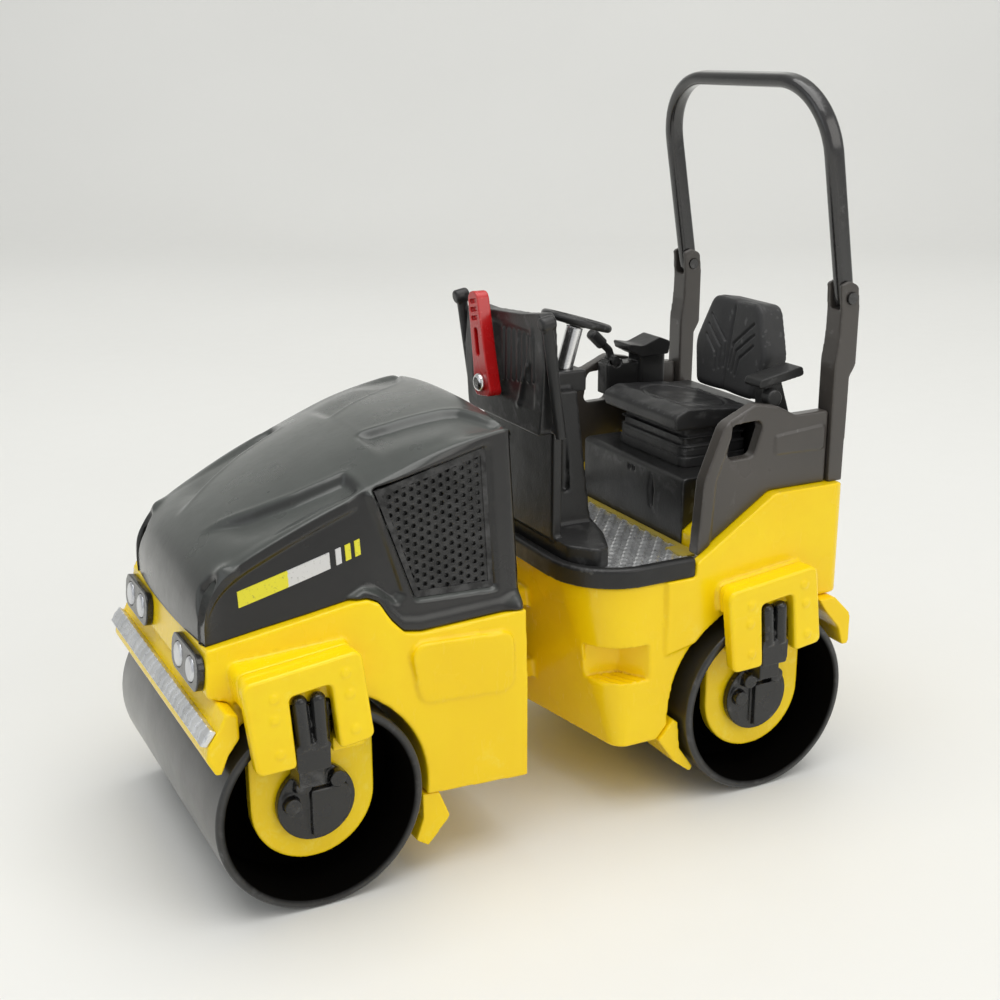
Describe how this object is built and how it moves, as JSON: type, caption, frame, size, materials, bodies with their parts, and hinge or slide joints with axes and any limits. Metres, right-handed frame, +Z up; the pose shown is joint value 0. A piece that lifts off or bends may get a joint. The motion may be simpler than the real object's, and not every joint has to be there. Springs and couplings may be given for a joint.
{
  "type": "toy tandem road roller",
  "caption": "Small-scale toy tandem road roller with a pivoting centre joint, free-rolling drums, a folding roll hoop and an operator platform.",
  "frame": {"origin": "on the ground below the steering pin, midway between the two drums", "axes": "+X forward, towards the engine end; +Y to the machine's left; +Z up"},
  "size_m": [0.0498, 0.0264, 0.0516],
  "materials": {
    "body_yellow": "glossy yellow enamel",
    "hood_black": "satin-gloss black",
    "grille_black": "perforated black",
    "drum_black": "satin black",
    "hydraulic_black": "glossy black",
    "axle_steel": "plain steel",
    "trim_black": "satin black",
    "strip_silver": "ribbed silver",
    "bright_metal": "bright silver",
    "lamp_housing": "black bezel",
    "lamp_clear": "clear faceted lens",
    "stripe_white": "printed pale bars",
    "tread_yellow": "dull yellow",
    "frame_grey": "warm dark grey satin",
    "hoop_black": "gloss black",
    "seat_grey": "moulded dark grey",
    "seat_cushion": "moulded black",
    "lever_red": "glossy red"
  },
  "bodies": {
    "rear_frame": {"rear_chassis": "body_yellow", "rear_scraper_front": "body_yellow", "rear_scraper_rear": "body_yellow", "console_screws": "bright_metal", "platform_tray": "trim_black", "tread_plate": "strip_silver", "tread_stripe": "tread_yellow", "seat_box": "trim_black", "console_cheek_left": "frame_grey", "console_cheek_right": "frame_grey", "seat_base": "seat_grey", "seat_cushion": "seat_cushion", "seat_back": "seat_grey", "armrest_left": "trim_black", "armrest_right": "trim_black", "steering_console": "trim_black", "dash_panel": "trim_black", "dash_rails": "trim_black", "lever_rivet": "bright_metal", "steering_column": "bright_metal", "rops_bracket_left": "frame_grey", "rops_bracket_right": "frame_grey", "rops_pins": "hoop_black", "steering_pin": "axle_steel", "rear_axle": "axle_steel", "rear_drum_support_left": "body_yellow", "rear_drum_support_right": "body_yellow", "rear_drum_motor_left": "hydraulic_black", "rear_drum_motor_right": "hydraulic_black", "rear_fork_left": "body_yellow", "rear_fork_right": "body_yellow"},
    "rear_drum": {"rear_drum_shell": "drum_black", "rear_drum_hubs": "drum_black"},
    "front_drum": {"front_drum_shell": "drum_black", "front_drum_hubs": "drum_black"},
    "joint_link": {"joint_link": "trim_black", "tilt_pin": "axle_steel"},
    "front_frame": {"front_chassis": "body_yellow", "hood": "hood_black", "grille_left": "grille_black", "grille_right": "grille_black", "bumper": "body_yellow", "bumper_strip": "strip_silver", "headlight_left": "lamp_housing", "headlight_right": "lamp_housing", "lamp_lenses": "lamp_clear", "side_stripes": "stripe_white", "front_scraper": "body_yellow", "hood_screws": "bright_metal", "front_axle": "axle_steel", "front_drum_support_left": "body_yellow", "front_drum_support_right": "body_yellow", "front_drum_motor_left": "hydraulic_black", "front_drum_motor_right": "hydraulic_black", "front_fork_left": "body_yellow", "front_fork_right": "body_yellow"},
    "red_lever": {"red_lever": "lever_red"},
    "steering_wheel": {"steering_wheel": "trim_black"},
    "travel_lever": {"travel_lever": "trim_black"},
    "rops_hoop": {"rops_hoop": "hoop_black"}
  },
  "joints": [
    {"name": "steer", "type": "hinge", "parent": "rear_frame", "child": "joint_link", "pos_m": [0, 0, 0.0116], "axis": [0, 0, 1], "range_deg": [-30, 30]},
    {"name": "tilt", "type": "hinge", "parent": "joint_link", "child": "front_frame", "pos_m": [0, 0, 0.0116], "axis": [1, 0, 0], "range_deg": [-5, 5]},
    {"name": "front_roll", "type": "hinge", "parent": "front_frame", "child": "front_drum", "pos_m": [0.0174, 0, 0.007], "axis": [0, 1, 0], "continuous": true},
    {"name": "rear_roll", "type": "hinge", "parent": "rear_frame", "child": "rear_drum", "pos_m": [-0.0174, 0, 0.007], "axis": [0, 1, 0], "continuous": true},
    {"name": "rops_fold", "type": "hinge", "parent": "rear_frame", "child": "rops_hoop", "pos_m": [-0.02415, 0, 0.0362], "axis": [0, 1, 0], "range_deg": [-100, 0]},
    {"name": "lever_swing", "type": "hinge", "parent": "rear_frame", "child": "red_lever", "pos_m": [-0.001, -0.0011, 0.0303], "axis": [1, 0, 0], "range_deg": [-40, 20]},
    {"name": "wheel_turn", "type": "hinge", "parent": "rear_frame", "child": "steering_wheel", "pos_m": [-0.0078, 0, 0.0343], "axis": [-0.284, 0, 0.9588], "continuous": true},
    {"name": "travel_swing", "type": "hinge", "parent": "rear_frame", "child": "travel_lever", "pos_m": [-0.01595, -0.0082, 0.0291], "axis": [0, 1, 0], "range_deg": [-20, 20]}
  ]
}
